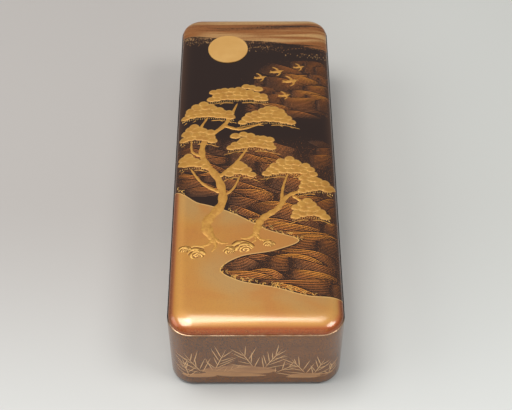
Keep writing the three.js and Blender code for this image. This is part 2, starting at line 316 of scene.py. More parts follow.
def ring_mesh(name, rows, fields=None, second_from=None):
    """Mesh of closed rings, each joined to the next by quads: one stack of rings, or many of one size. A
    stack whose faces enclose a volume below zero, by the sum of corner products, is turned outwards.
    Fields are values per point, and in a single stack rows from second_from on take the second material."""
    rows = rows.reshape(-1, *rows.shape[-3:])
    count, around = rows.shape[1:3]
    index = np.arange(rows.size // 3).reshape(rows.shape[:3])
    beside = np.roll(index, -1, 2)
    quads = np.stack([index[:, :-1], index[:, 1:], beside[:, 1:], beside[:, :-1]], -1)
    first, second, third, fourth = np.moveaxis(rows.reshape(-1, 3)[quads], -2, 0)
    volume = (first * (np.cross(second, third) + np.cross(third, fourth))).sum((1, 2, 3))
    quads[volume < 0] = quads[volume < 0][..., ::-1]
    mesh = bpy.data.meshes.new(name)
    mesh.from_pydata(rows.reshape(-1, 3), [], quads.reshape(-1, 4))
    for field, values in (fields or {}).items():
        layer = mesh.attributes.new(field, "FLOAT", "POINT")
        layer.data.foreach_set("value", np.ascontiguousarray(values, np.float32).ravel())
    if second_from is not None:
        slots = np.repeat(np.arange(count - 1) >= second_from, around).astype(np.int32)
        mesh.polygons.foreach_set("material_index", slots)
    return mesh


def finished(mesh, body, materials, angle=40):
    """Puts a mesh in the scene under its own name: poles merged, faces smooth up to an angle, riding on
    its body."""
    work = bmesh.new()
    work.from_mesh(mesh)
    bmesh.ops.remove_doubles(work, verts=work.verts, dist=weld)
    work.to_mesh(mesh)
    work.free()
    mesh.shade_smooth()
    mesh.set_sharp_from_angle(angle=math.radians(angle))
    for entry in materials:
        mesh.materials.append(entry)
    piece = bpy.data.objects.new(mesh.name, mesh)
    bpy.context.collection.objects.link(piece)
    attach(piece, body)
    return piece


top_table = rim_table(corner_steps, np.linspace(0, 1, side_steps + 1), np.linspace(0, 1, end_steps + 1))
shoulder_turn = np.linspace(0, 1, shoulder_rings) * math.pi / 2
shoulder_inset = shoulder_width * (1 - np.cos(shoulder_turn) ** fullness)
crown_width = swell_x - shoulder_width
crown_inset = shoulder_width + crown_width * np.linspace(0, 1, crown_rings)[1:]
inset = np.concatenate([shoulder_inset, crown_inset])
inner = np.clip((inset - shoulder_width) / crown_width, 0, 1)
ring_radius = (swell_radius - tightening * np.minimum(inset, shoulder_width)) * (1 - inner)
top_rows = rounded_rings(top_table, swell_x - inset, swell_y - inset, ring_radius, 0 * inset)
top_rows[..., 2] = swelling(top_rows[..., 0], top_rows[..., 1])
lip = np.array([lip_width, 0])
lip_z = ledge_z - lip_sunk + 0 * lip
lip_rows = rounded_rings(top_table, swell_x - lip, swell_y - lip, swell_radius - lip, lip_z)
ceiling_radius = np.maximum(plan_radius - ceiling_inset * tightening, ceiling_corner)
ceiling_rows = rounded_rings(top_table, plan_x - ceiling_inset, plan_y - ceiling_inset, ceiling_radius,
                             ledge_z - ceiling_drop)
ceiling_middle = rounded_rings(top_table, [0], [plan_y - plan_x], [0], [ledge_z + ceiling_middle_rise])
lid_top_rows = np.concatenate([ceiling_middle, ceiling_rows[::-1], lip_rows, top_rows])[::-1]
top_x = lid_top_rows[..., 0]
top_y = lid_top_rows[..., 1]


# Lid, lacquer picture. Gold and copper powder are sprinkled on black lacquer and polished: a sandy
# shore at the near end, rolling water, and bands of evening mist at the far end.
shore_points = np.array([
    (-50, -32), (-30, -35), (-12, -42), (6, -53), (23, -60), (10, -67), (-8, -71), (-18, -79), (-8, -86),
    (10, -90), (26, -95), (50, -100), (60, -130), (-60, -130)]) * mm
shore_steps = 10
# The far and the near water, in millimetres: first and last row of waves and the step between rows,
# then each wave's half width, height, steepest slope and line spacing, and the share of waves kept.
waters = [(76, 26, -5.0, 13, 3.6, -0.4, 1.04, 0.66), (6, -100, -6.4, 21, 7.0, -0.62, 1.06, 0.86)]
wave_reach = (-48, 62)
wave_step = 1.2
strokes_per_wave = 11
wash_strength = 0.5
wash_lines = 3.2
wash_least = 0.16
mist_start = 97 * mm
mist_fall = 9 * mm
mist_fall_x = (-30 * mm, 40 * mm)
mist_wave = 1.2 * mm
mist_wave_length = 9 * mm
picture_seed = 11


def smooth_path(points, steps, closed=False):
    """Catmull-Rom curve through the points: a cubic between each two whose slope at a point is half the
    way from the one before to the one after."""
    points = np.asarray(points, float)
    if closed:
        padded = np.concatenate([points[-1:], points, points[:2]])
    else:
        padded = np.concatenate([2 * points[:1] - points[1:2], points, 2 * points[-1:] - points[-2:-1]])
    before, start, end, after = (padded[k:len(padded) - 3 + k, None] for k in range(4))
    t = (np.arange(steps) / steps)[None, :, None]
    square = 2 * before - 5 * start + 4 * end - after
    cube = 3 * start - before - 3 * end + after
    curve = (2 * start + (end - before) * t + square * t ** 2 + cube * t ** 3) / 2
    curve = curve.reshape(-1, points.shape[1])
    return curve if closed else np.concatenate([curve, points[-1:]])


def inside_by(outline, x, y):
    """Distance from each place to a closed outline, positive inside: the least distance to its
    segments, with the sign of an odd count of crossings."""
    least = np.full(np.shape(x), np.inf)
    odd = np.zeros(np.shape(x), bool)
    for start, end in zip(outline, np.roll(outline, -1, 0)):
        run = end - start
        share = np.clip(((x - start[0]) * run[0] + (y - start[1]) * run[1]) / (run @ run), 0, 1)
        least = np.minimum(least, np.hypot(x - start[0] - share * run[0], y - start[1] - share * run[1]))
        spans = (start[1] > y) != (end[1] > y)
        odd ^= spans & (x < start[0] + (y - start[1]) * run[0] / (run[1] or 1))
    return np.where(odd, least, -least)


def ramp(value, low, high):
    """0 at low, 1 at high, smooth between, for arrays."""
    share = np.clip((value - low) / (high - low), 0, 1)
    return share * share * (3 - 2 * share)


def sea(x, y):
    """How thickly water is drawn at a place: full on the right and in the bay, thin behind the pines,
    and a patch far off that thins out to the left."""
    far = ramp(x - 0.25 * (y - 54 * mm), -12 * mm, 22 * mm) * ramp(y, 24 * mm, 36 * mm)
    far = far * ramp(-y, -80 * mm, -66 * mm)
    behind = 0.75 * ramp(y, -34 * mm, -24 * mm) * ramp(-y, -16 * mm, -2 * mm)
    right = ramp(x, -24 * mm, 4 * mm) * ramp(-y, -16 * mm, 2 * mm)
    bay = ramp(x, -34 * mm, -18 * mm) * ramp(-y, 48 * mm, 60 * mm)
    return np.maximum(np.maximum(far, behind), np.maximum(right, bay))


def crest(wave, x):
    """Height of a wave's top line at x: a parabola, its peak pushed to one side by the wave's skew, on a
    slope."""
    middle, base, half, height, slope, skew = np.moveaxis(wave[..., :6], -1, 0)
    across = (x - middle) / half
    leaning = across + skew * (1 - across ** 2)
    return base + height * (1 - leaning ** 2) + slope * half * across


def pitch(wave, x):
    """Distance between a wave's lines at x: they gather towards both ends, as a lock of hair does."""
    across = np.clip((x - wave[..., 0]) / wave[..., 2], -1, 1)
    return wave[..., 6] * (0.55 + 0.45 * np.sqrt(1 - across ** 2))


# Each wave's middle, base, half width, height, slope, skew, line spacing, brightness and share kept.
draw = np.random.default_rng(picture_seed)
waves = []
for first_row, last_row, row_step, half, height, slope, spacing, kept in waters:
    for row_y in np.arange(first_row, last_row, row_step):
        for place_x in np.arange(*wave_reach, half * wave_step):
            waves.append((place_x + draw.uniform(-8, 8), row_y + draw.uniform(-2, 2),
                          half * draw.uniform(0.75, 1.4), height * draw.uniform(0.5, 1.3),
                          draw.uniform(slope, 0), draw.uniform(-0.48, 0.48), spacing,
                          draw.uniform(0.5, 1), kept))
waves = np.array([wave for wave in waves if draw.uniform() < wave[-1]])
waves = waves[np.argsort(-waves[:, 1])]
waves[:, [0, 1, 2, 3, 6]] *= mm

wash = np.zeros_like(top_x)
for wave in waves:
    depth = crest(wave, top_x) - top_y
    middle = np.clip(1 - ((top_x - wave[0]) / wave[2]) ** 2, 0, 1)
    within = (middle > 0) & (depth > 0) & (depth < strokes_per_wave * pitch(wave, top_x))
    fade = np.exp(-np.maximum(depth, 0) / (wash_lines * wave[6]))
    wash = np.where(within, wash_strength * wave[7] * middle * fade, wash)
wash = np.maximum(wash, wash_least) * sea(top_x, top_y)

shore_outline = smooth_path(shore_points, shore_steps, closed=True)
mist_edge = mist_start - mist_fall * ramp(top_x, *mist_fall_x) + mist_wave * np.sin(top_x / mist_wave_length)
drop = np.clip((board_high.z - lid_top_rows[..., 2]) / (board_high.z - swell_z), 0, 1)
lid_fields = {"shore": inside_by(shore_outline, top_x, top_y), "wash": wash, "mist": top_y - mist_edge,
              "drop": drop}

ground_black = (0.0155, 0.0062, 0.0042, 1)
ground_brown = (0.085, 0.032, 0.011, 1)
copper = (0.45, 0.14, 0.022, 1)
deep_copper_and_shade = (0.38, 0.066, 0.006, 1)
dull_copper = (0.34, 0.125, 0.036, 1)
orange_gold = (0.72, 0.28, 0.030, 1)
pale_gold = (0.76, 0.375, 0.075, 1)
tan_gold = (0.60, 0.345, 0.145, 1)
sand_orange = (0.40, 0.143, 0.008, 1)
sand_pale = (0.43, 0.185, 0.013, 1)
sand_grey = (0.38, 0.205, 0.050, 1)
edge_gold = (0.80, 0.52, 0.19, 1)
pear_ground = (0.050, 0.018, 0.008, 1)
dust_scale = 6500
flake_scale = 2600
pear_scale = 3600
fine_scale = 5200
shore_blur = 0.08 * mm
pale_from_shore = (15 * mm, 34 * mm)
edge_starts = (0.05 * mm, 0.15 * mm)
edge_ends = (0.3 * mm, 0.6 * mm)
patch_drift = 30 * mm
side_shade = (swell_x - 3 * mm, swell_x - 1.2 * mm)
mist_blur = 0.15 * mm
haze_reach = (-12 * mm, 4 * mm)
dust_depth = 0.02 * mm


def dust(place, scale=dust_scale):
    """A random number from 0 to 1 for each grain of powder, which are cells of that many to a metre."""
    cells = place.node("TexVoronoi", None, {"Vector": place, "Scale": scale}, 1)
    return place.node("SeparateColor", None, {"Color": cells})


def stretched(place, x, y, z):
    """Object coordinates with each axis scaled, for streaks."""
    return place.node("VectorMath", {"operation": "MULTIPLY"}, {0: place, 1: (x, y, z)})


def picture_paint(place):
    """Sand on the shore, greyer by the water and pale along its edge. A paler band round the top of the
    shoulder is a painted highlight; lower down the sand turns redder, a copper tone deepened as painted
    shade, and along the long sides it is darkened to brown as painted shade. On the black, each grain is
    there or not by its random number: copper for water, gold for mist."""
    shore, wash, mist, drop = (place.field(name) for name in ("shore", "wash", "mist", "drop"))
    grain = dust(place)
    flake = dust(place, flake_scale)
    patch = place.noise(28, 3, 0.4)
    streak = stretched(place, 14, 210, 14).noise(1, 4, 0.3)
    land = shore.step(-shore_blur, shore_blur)
    low = drop.step(0.5, 0.7) * land
    side = place.math("ABSOLUTE", place.axis(0))
    edge = shore.step(*edge_starts) * (1 - shore.step(*edge_ends))
    land_tone = (shore + patch * patch_drift).step(*pale_from_shore).mix(sand_grey, sand_pale)
    land_tone = (patch.step(0.45, 0.62) * 0.7).mix(land_tone, sand_orange)
    # Painted highlight: paler gold round the top of the shoulder.
    land_tone = (drop.step(0.24, 0.34) * 0.25).mix(land_tone, pale_gold)
    # A real copper tone deepened as painted shade: orange and then deep copper down the shoulder.
    land_tone = (drop.step(0.36, 0.54) * 0.8).mix(land_tone, sand_orange)
    land_tone = (drop.step(0.43, 0.64) * 0.95).mix(land_tone, deep_copper_and_shade)
    land_tone = (side.step(*side_shade) * 0.5).mix(land_tone, ground_brown)
    land_tone = (edge * 0.6).mix(land_tone, edge_gold)
    land_tone = (grain.step(0.80, 0.95) * 0.35).mix(land_tone, copper)
    land_tone = (flake.step(0.6, 1) * (0.12 + low * 0.3)).mix(land_tone, ground_brown)
    land_tone = ((0.35 - flake).step(0, 0.35) * (0.10 + low * 0.4)).mix(land_tone, sand_grey)
    band = mist.step(-mist_blur, mist_blur) * streak.step(0.24, 0.44)
    haze = mist.step(*haze_reach) * 0.5 * streak.step(0.35, 0.7)
    misted = (grain < band * 0.92).larger(flake < haze * 0.8)
    mist_tone = streak.step(0.42, 0.62).mix(dull_copper, tan_gold)
    washed = grain * 0.6 + flake * 0.4 < wash * 0.75
    powder = misted.larger(washed)
    veil = (band * 0.92).larger(haze)
    under = (wash * 0.9).larger(veil * 0.9).larger(drop.step(0.25, 0.85) * 0.5)
    tone = misted.mix(wash.step(0.2, 0.9).mix(copper, orange_gold), mist_tone)
    colour = powder.mix(under.mix(ground_black, ground_brown), tone)
    gilt = land.larger(powder)
    height = place.noise(fine_scale) * gilt + land * 3
    return {"Base Color": land.mix(colour, land_tone), "Metallic": gilt * (0.5 - land * 0.22) + low * 0.25,
            "Roughness": 0.10 + gilt * 0.26 + land * 0.08 + patch * 0.04,
            "Normal": height.bump(0.25, dust_depth), "Coat Weight": 0.14 + land * 0.86 - low * 0.6,
            "Coat Roughness": 0.16, "Coat IOR": 1.75}


def pear_paint(place):
    """Pear-skin ground, inside: flakes of gold, larger than the dust outside, in reddish-brown lacquer."""
    flake = dust(place, pear_scale)
    gilded = flake < 0.34
    colour = gilded.mix(pear_ground, (flake < 0.17).mix(copper, pale_gold))
    return {"Base Color": colour, "Metallic": gilded * 0.6, "Roughness": 0.20, "Coat Weight": 0.8,
            "Coat Roughness": 0.05}


picture_lacquer = material("picture_lacquer", picture_paint)
pear_skin = material("pear_skin", pear_paint)
outside_count = len(top_rows) + len(lip_rows)
lid_top_mesh = ring_mesh("lid_top_lacquer", lid_top_rows, lid_fields, outside_count)
lid_top = finished(lid_top_mesh, "lid", [picture_lacquer, pear_skin])
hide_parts("lid_top_board")


# Lid, rolling water. Each wave is a lock of fine combed lines of gold, trailed over the lacquer side
# by side, that gather at both ends; they fade below the crest, and nearer waves stand before farther.
line_samples = np.linspace(-1, 1, 81)
line_share = np.linspace(0, 1, 17)
least_samples = 10
least_sea = 0.22
line_margin = 1.2 * mm
line_from_shore = 0.35 * mm
line_height = 0.07 * mm
line_width_share = 0.2
lines_to_fade = 7.3
line_strength = 0.83
slope_step = 0.05 * mm
foot_sunk = 0.02 * mm
fine_angle = 60
water_stops = [(0.05, (0.045, 0.018, 0.008, 1)), (0.25, (0.17, 0.058, 0.016, 1)), (0.5, copper),
               (0.8, orange_gold)]


def over_lid(x, y, lift):
    """Places at a height above the swelling board, measured square to it: its slope comes from
    differences of its height over a short step."""
    z = swelling(x, y)
    slope_x = (swelling(x + slope_step, y) - z) / slope_step
    slope_y = (swelling(x, y + slope_step) - z) / slope_step
    size = np.sqrt(1 + slope_x ** 2 + slope_y ** 2)
    return np.stack([x - lift * slope_x / size, y - lift * slope_y / size, z + lift / size], -1)


def on_board(x, y, margin):
    """True where a place lies on the swelling board, at least a margin inside its edge."""
    out_x = np.abs(x) - (swell_x - swell_radius)
    out_y = np.abs(y) - (swell_y - swell_radius)
    return np.hypot(np.maximum(out_x, 0), np.maximum(out_y, 0)) < swell_radius - margin


def ribbon(x, y, half_width, height):
    """Closed three-sided ribbons along paths (path, step): at each step two feet, half a width to each
    side of the path, and a ridge over it; the widths fall to nothing at both ends."""
    run_x = np.gradient(x, axis=1)
    run_y = np.gradient(y, axis=1)
    size = np.hypot(run_x, run_y)
    side = np.stack([-half_width, half_width, np.zeros_like(half_width)], -1)
    lift = np.stack([-foot_sunk + 0 * height, -foot_sunk + 0 * height, height], -1)
    side_x = x[..., None] - side * (run_y / size)[..., None]
    side_y = y[..., None] + side * (run_x / size)[..., None]
    return side_x, side_y, lift


def lid_gold(mesh, gold, angle):
    """A piece of raised gold on the lid, riding on the lid's body."""
    piece = finished(mesh, "lid", [gold], angle)


def water_paint(place):
    """Brown where a line is faint, through copper to orange gold where it is strong."""
    grain = dust(place)
    colour = place.node("ValToRGB", {"stops": water_stops}, {"Fac": place.field("tone") + grain * 0.18})
    return {"Base Color": colour, "Metallic": 0.55, "Roughness": 0.30 + grain * 0.1}


line_runs = []
for rank, wave in enumerate(waves):
    line_x = wave[0] + wave[2] * line_samples
    nearer = waves[rank + 1:, None, :]
    nearer_pitch = pitch(nearer, line_x)
    for line in range(strokes_per_wave):
        line_y = crest(wave, line_x) - line * pitch(wave, line_x)
        depth = crest(nearer, line_x) - line_y
        hidden = (np.abs(line_x - nearer[..., 0]) < nearer[..., 2]) & (depth > -0.5 * nearer_pitch)
        hidden = (hidden & (depth < strokes_per_wave * nearer_pitch)).any(0)
        shown = ~hidden & (sea(line_x, line_y) > least_sea) & on_board(line_x, line_y, line_margin)
        shown &= inside_by(shore_outline, line_x, line_y) < -line_from_shore
        ends = np.flatnonzero(np.diff(np.concatenate([[0], shown.astype(int), [0]])))
        for first, last in zip(ends[::2], ends[1::2]):
            if last - first > least_samples:
                line_runs.append((rank, line, line_samples[first], line_samples[last - 1]))
line_runs = np.array(line_runs)
line_wave = waves[line_runs[:, 0].astype(int)][:, None, :]
line_order = line_runs[:, 1:2]
line_across = line_runs[:, 2:3] + (line_runs[:, 3:4] - line_runs[:, 2:3]) * line_share
line_x = line_wave[..., 0] + line_wave[..., 2] * line_across
line_pitch = pitch(line_wave, line_x)
line_y = crest(line_wave, line_x) - line_order * line_pitch
line_tone = sea(line_x, line_y) * line_wave[..., 7] * (1 - line_across ** 4)
line_tone = line_strength * line_tone * np.exp(-line_order / lines_to_fade)
line_taper = np.sqrt(np.sin(math.pi * line_share)) + 0 * line_x
water_path = ribbon(line_x, line_y, line_width_share * line_pitch * line_taper, line_height * line_taper)
water_fields = {"tone": np.repeat(line_tone[..., None], 3, 2)}
water_mesh = ring_mesh("water_lines", over_lid(*water_path), water_fields)
lid_gold(water_mesh, material("water_gold", water_paint), fine_angle)


# Lid, pines. Foliage in raised gold: clouds of small overlapping fans built up in tiers with charcoal
# and lacquer, sprinkled with gold and scored with needles that spread from each fan's foot.
raised_gold = (0.51, 0.262, 0.052, 1)
rubbed_gold = (0.73, 0.45, 0.135, 1)
shaded_gold = (0.34, 0.138, 0.024, 1)
scored_brown = (0.16, 0.055, 0.012, 1)
dome_shares = np.array([0, 0.35, 0.6, 0.8, 0.92, 0.98, 1.0, 0.9, 0])[:, None]
dome_foot = -0.15
dome_sides = 26
dome_phase = 9000
mound_angle = 50
top_tier_share = 0.44
tier_widening = 0.62
score_depth = 0.04 * mm
needle_share = np.linspace(0, 1, 6)
needle_width = 0.23 * mm
needle_height = 0.16 * mm
needle_margin = 1.5 * mm
fan_margin = 3.2 * mm
# The pads and what follows are in millimetres: each pad's middle, width and number of tiers.
pads = [(-10, 47, 36, 4), (-27, 33, 30, 4), (7, 29, 32, 4), (-34, 15, 24, 4), (-2, 9, 27, 4),
        (-35, -6, 19, 3), (19, -10, 29, 4), (34, -22, 22, 4), (29.5, -40, 20, 4), (-8, -12, 17, 3)]
tier_step = 2.9
pad_droop = 1.9
fan_spacing = 4.0
fan_inset = 2.2
fan_foot = 1.5
needle_spacing = 1.25


def once_round(count):
    """That many equal angles once round a circle."""
    return np.linspace(0, 2 * math.pi, count, endpoint=False)


def under_edge(pad_y, tiers, across):
    """The lower edge of a pad at a share of its half width: half a fan below the lowest tier's middles."""
    return pad_y + tier_step * (1 - tiers / 2) - pad_droop * across ** 2 - fan_foot


def domes(places, flat, uneven):
    """Closed low domes on the board, one for each place (x, y, radius, height): rings out from the
    middle, a steep rim, and under it to a foot just below the surface. The near half is flattened to a
    share, and the outline swells in and out by the unevenness, differently on each."""
    at_x, at_y, radius, height = (places[:, k, None, None] for k in range(4))
    shift = at_x * dome_phase
    swell = 1 + uneven * (np.cos(2 * dome_turn + shift) + 0.6 * np.cos(5 * dome_turn - shift))
    reach = dome_shares * (1 + 0.02 * np.cos(9 * dome_turn)) * swell
    dome = (1 - dome_shares ** 7) * (1 - 0.35 * dome_shares ** 2) + 0 * dome_turn
    dome[-2:] = dome_foot
    local_x = reach * np.cos(dome_turn)
    local_y = reach * np.sin(dome_turn)
    x = at_x + radius * local_x
    y = at_y + radius * local_y * np.where(local_y < 0, flat, 0.9)
    spread = {"fan_x": np.broadcast_to(local_x, x.shape), "fan_y": np.broadcast_to(local_y, x.shape)}
    return over_lid(x, y, height * dome), spread


def foliage_paint(place):
    """Needle marks spread from the foot of each fan. A scored line runs round the fan's edge, and just
    inside it the gold is rubbed paler. Each fan is darkened towards its lower side as painted shade, and
    mottled in patches."""
    fan_x = place.field("fan_x")
    fan_y = place.field("fan_y")
    grain = dust(place)
    needle = place.math("SINE", place.math("ARCTAN2", fan_y + 1.05, fan_x) * 40)
    reach = place.math("SQRT", fan_x * fan_x + fan_y * fan_y)
    patch = place.noise(220, 3)
    line = reach.step(0.86, 0.95)
    rim = reach.step(0.50, 0.76) * (1 - line)
    # The lower side of each fan is darkened as painted shade; the needle marks and patches are the gold's
    # own.
    deep = needle.step(-0.1, 0.9) * 0.30 + (0.1 - fan_y).step(-0.4, 0.9) * 0.22
    deep = deep + patch.step(0.42, 0.66) * 0.35
    colour = (rim * 0.3).mix((deep + grain * 0.12).mix(raised_gold, shaded_gold), rubbed_gold)
    return {"Base Color": (line * 0.5).mix(colour, scored_brown), "Metallic": 0.4,
            "Roughness": 0.38 + grain * 0.1, "Normal": needle.bump(0.4, score_depth)}


def fringe_paint(place):
    """Fresh gold, paler than the foliage, in short strokes."""
    grain = dust(place)
    return {"Base Color": (grain * 0.5).mix(rubbed_gold, raised_gold), "Metallic": 0.4,
            "Roughness": 0.35 + grain * 0.1}


dome_turn = once_round(dome_sides)
fans = []
for pad_x, pad_y, pad_width, tiers in pads:
    for tier in range(tiers):
        wide = pad_width * (top_tier_share + (1 - top_tier_share) * (tier / (tiers - 1)) ** tier_widening)
        middle_x = pad_x + draw.uniform(-0.4, 0.4) * (pad_width - wide)
        middle_y = pad_y + tier_step * (tiers / 2 - tier)
        for across in np.linspace(-1, 1, max(3, round(wide / fan_spacing))):
            fan_y = middle_y - pad_droop * across ** 2 + draw.uniform(-0.4, 0.4)
            fan_x = middle_x + across * (wide / 2 - fan_inset) + draw.uniform(-0.5, 0.5)
            fans.append((fan_x, fan_y, draw.uniform(2.7, 3.3), 0.26 + 0.035 * tier + draw.uniform(0, 0.04)))
fans = np.array(fans) * mm
fans = fans[on_board(fans[:, 0], fans[:, 1], fan_margin)]

feet = []
for pad_x, pad_y, pad_width, tiers in pads:
    for across in np.linspace(-0.94, 0.94, int(pad_width / needle_spacing)):
        feet.append((pad_x + across * pad_width / 2, under_edge(pad_y, tiers, across) - 0.3,
                     0.55 * across + draw.uniform(-0.3, 0.3), draw.uniform(0.9, 1.7)))
foot_x, foot_y, foot_lean, foot_length = np.array(feet).T[:, :, None]
needle_x = (foot_x + foot_length * needle_share * np.sin(foot_lean)) * mm
needle_y = (foot_y - foot_length * needle_share * np.cos(foot_lean)) * mm
needle_taper = (1 - needle_share ** 3) * np.clip(needle_share * 8, 0, 1) + 0 * needle_x
needle_rows = over_lid(*ribbon(needle_x, needle_y, needle_width * needle_taper, needle_height * needle_taper))
needle_rows = needle_rows[on_board(needle_x, needle_y, needle_margin).all(1)]

foliage_gold = material("foliage_gold", foliage_paint)
lid_gold(ring_mesh("pine_foliage", *domes(fans, flat=0.5, uneven=0)), foliage_gold, mound_angle)
fringe_gold = material("fringe_gold", fringe_paint)
lid_gold(ring_mesh("pine_needles", needle_rows), fringe_gold, fine_angle)


# Lid, pine trunks and twigs. The same raised gold, laid on as rounded ridges that taper along each
# limb, with knots and a rough bark.
# In millimetres: each limb's points, its first and last width, and its height.
limbs = [
    ([(-22, -61), (-26, -49), (-18, -35), (-20, -19), (-29, -3), (-28, 11), (-17, 23), (-10, 40)],
     6.0, 1.8, 0.34),
    ([(-27, 10), (-31, 19), (-27, 29)], 2.2, 1.0, 0.22),
    ([(-18, 22), (-8, 19), (5, 24)], 2.2, 0.9, 0.22),
    ([(-28, -2), (-35, 2), (-36, 11)], 2.0, 0.9, 0.22),
    ([(-20, -17), (-11, -7), (-4, 5)], 2.6, 1.0, 0.25),
    ([(-19, -28), (-29, -21), (-36, -10)], 2.2, 0.9, 0.22),
    ([(-18, -31), (-12, -25), (-8, -15)], 1.8, 0.8, 0.22),
    ([(-22, -59), (-25, -63), (-29, -64)], 2.6, 0.8, 0.3),
    ([(-22, -59), (-21, -64), (-23, -68)], 2.6, 0.8, 0.3),
    ([(-22, -59), (-18, -62), (-14, -62)], 2.6, 0.8, 0.3),
    ([(0, -57), (3, -47), (12, -39), (18, -30), (30, -25)], 4.6, 1.5, 0.34),
    ([(14, -36), (15, -25), (18, -14)], 2.0, 0.9, 0.22),
    ([(20, -30), (26, -35), (31, -40)], 1.8, 0.8, 0.22),
    ([(0, -56), (-4, -59), (-8, -59)], 2.2, 0.7, 0.28),
    ([(0, -56), (3, -60), (8, -60)], 2.2, 0.7, 0.28),
    ([(0, -56), (0, -60), (-2, -62)], 1.8, 0.7, 0.28)]
twig_size = (0.6, 0.3, 0.18)
fork_size = (0.45, 0.25, 0.14)
for pad_x, pad_y, pad_width, tiers in pads:
    for side in (-1, 1):
        shares = np.array([0.12, 0.45, 0.8, 1.12 + draw.uniform(-0.04, 0.12)])
        twig_x = pad_x + side * shares * pad_width / 2
        twig_y = under_edge(pad_y, tiers, shares) - np.array([2.6, 2.0, 2.2, 2.4 + draw.uniform(-0.4, 0.6)])
        limbs.append((list(zip(twig_x, twig_y)), *twig_size))
        for at in (1, 2):
            fork = (twig_x[at] + side * draw.uniform(1.6, 2.6), twig_y[at] - draw.uniform(0.9, 1.6))
            limbs.append(([(twig_x[at], twig_y[at]), fork], *fork_size))
limb_margin = 1.6 * mm
limbs = [limb for limb in limbs if on_board(*np.array(limb[0]).T * mm, limb_margin).all()]
limb_turn = once_round(10)
knot_swell = 0.13
knot_pace = 14
end_pace = 14
bark_depth = 0.12 * mm


def ridge(points, wide, narrow, height, steps=12):
    """A closed rounded ridge along a smooth path on the board: a flattened oval section whose width
    goes from wide to narrow, swells at knots, and closes to a point at both ends."""
    path = smooth_path(np.array(points) * mm, steps)
    share = np.linspace(0, 1, len(path))
    run = np.gradient(path, axis=0)
    run /= np.hypot(run[:, 0], run[:, 1])[:, None]
    half = (wide + (narrow - wide) * share) * mm / 2 * (1 + knot_swell * np.sin(share * wide * knot_pace))
    half *= np.clip(np.minimum(share, 1 - share) * end_pace, 0, 1) ** 0.5
    side = np.cos(limb_turn) * half[:, None]
    lift = np.sin(limb_turn) * (height * mm * (half / half.max()) ** 0.7)[:, None]
    x = path[:, :1] - run[:, 1:] * side
    y = path[:, 1:] + run[:, :1] * side
    return over_lid(x, y, np.where(lift > 0, lift, 0.2 * lift))


def joined_mesh(name, stacks):
    """One mesh from several stacks of rings of different lengths."""
    gathered = bmesh.new()
    for stack in stacks:
        part = ring_mesh("part", stack)
        gathered.from_mesh(part)
        bpy.data.meshes.remove(part)
    mesh = bpy.data.meshes.new(name)
    gathered.to_mesh(mesh)
    gathered.free()
    return mesh


def bark_paint(place):
    """The foliage's gold, darker in the hollows of a rough noise."""
    grain = dust(place)
    rough = place.noise(480, 5, 1.0)
    colour = (rough.step(0.38, 0.66) * 0.5 + grain * 0.15).mix(raised_gold, shaded_gold)
    return {"Base Color": colour, "Metallic": 0.4, "Roughness": 0.40 + grain * 0.1,
            "Normal": rough.bump(0.6, bark_depth)}


bark_gold = material("bark_gold", bark_paint)
lid_gold(joined_mesh("pine_limbs", [ridge(*limb) for limb in limbs]), bark_gold, mound_angle)


# Lid, shore rocks and spray. Rocks are low mounds of swirled ledges in raised gold; spray is small
# hooks of gold where the water meets the sand.
# In millimetres: each rock's middle and radius.
rocks = [(-7, -64, 5.2), (-13.5, -66.5, 3.4), (-31, -68, 4.6), (-37, -65.5, 3.0), (7, -62.5, 2.8)]
rock_levels = 3
rock_places = np.array([(x + 0.2 * size * level, y - 0.14 * size * level, size * (1 - 0.24 * level),
                         0.18 + 0.10 * level) for x, y, size in rocks for level in range(rock_levels)]) * mm
spray_count = 230
spray_from = 0.02
spray_run = 0.72
spray_off = 1.6 * mm
spray_out = 2.6 * mm
spray_margin = 2 * mm
spray_from_shore = 0.3 * mm
spray_sea = 0.3
hook_half = 0.22 * mm
hook_bend = 2.6


def rock_paint(place):
    """Ledges arch over each rock's foot: a wave of the distance from there, bent by a coarse noise."""
    fan_x = place.field("fan_x")
    up = place.field("fan_y") + 0.7
    reach = place.math("SQRT", fan_x * fan_x + up * up)
    ledge = place.math("SINE", reach * 11 + place.noise(260) * 3)
    colour = ledge.step(-0.9, -0.2).mix(scored_brown, raised_gold)
    colour = (ledge.step(0.3, 0.9) * 0.6).mix(colour, rubbed_gold)
    return {"Base Color": colour, "Metallic": 0.4, "Roughness": 0.38, "Normal": ledge.bump(0.6, bark_depth)}


rock_mesh = ring_mesh("shore_rocks", *domes(rock_places, flat=0.75, uneven=0.16))
lid_gold(rock_mesh, material("rock_gold", rock_paint), mound_angle)

spray_share = spray_from + spray_run * draw.uniform(0, 1, spray_count)
shore_share = np.linspace(0, 1, len(shore_outline))
spray_x, spray_y = (np.interp(spray_share, shore_share, shore_outline[:, k]) for k in (0, 1))
spray_x = spray_x + draw.uniform(-1, 1, spray_count) * spray_off
spray_y = spray_y + draw.uniform(0, 1, spray_count) * spray_out
spray_kept = on_board(spray_x, spray_y, spray_margin) & (sea(spray_x, spray_y) > spray_sea)
spray_kept &= inside_by(shore_outline, spray_x, spray_y) < -spray_from_shore
hook_share = np.linspace(0, 1, 9)
hook_turn = draw.uniform(0.3, 2.8, spray_count)[:, None] + hook_bend * hook_share
hook_size = draw.uniform(0.6, 1.3, spray_count)[:, None] * mm
hook_x = spray_x[:, None] + hook_size * np.cos(hook_turn)
hook_y = spray_y[:, None] + hook_size * np.sin(hook_turn)
hook_taper = hook_half * (np.sqrt(np.sin(math.pi * hook_share)) + 0 * hook_x)
spray_rows = over_lid(*ribbon(hook_x, hook_y, hook_taper, hook_taper))[spray_kept]
lid_gold(ring_mesh("shore_spray", spray_rows), fringe_gold, fine_angle)


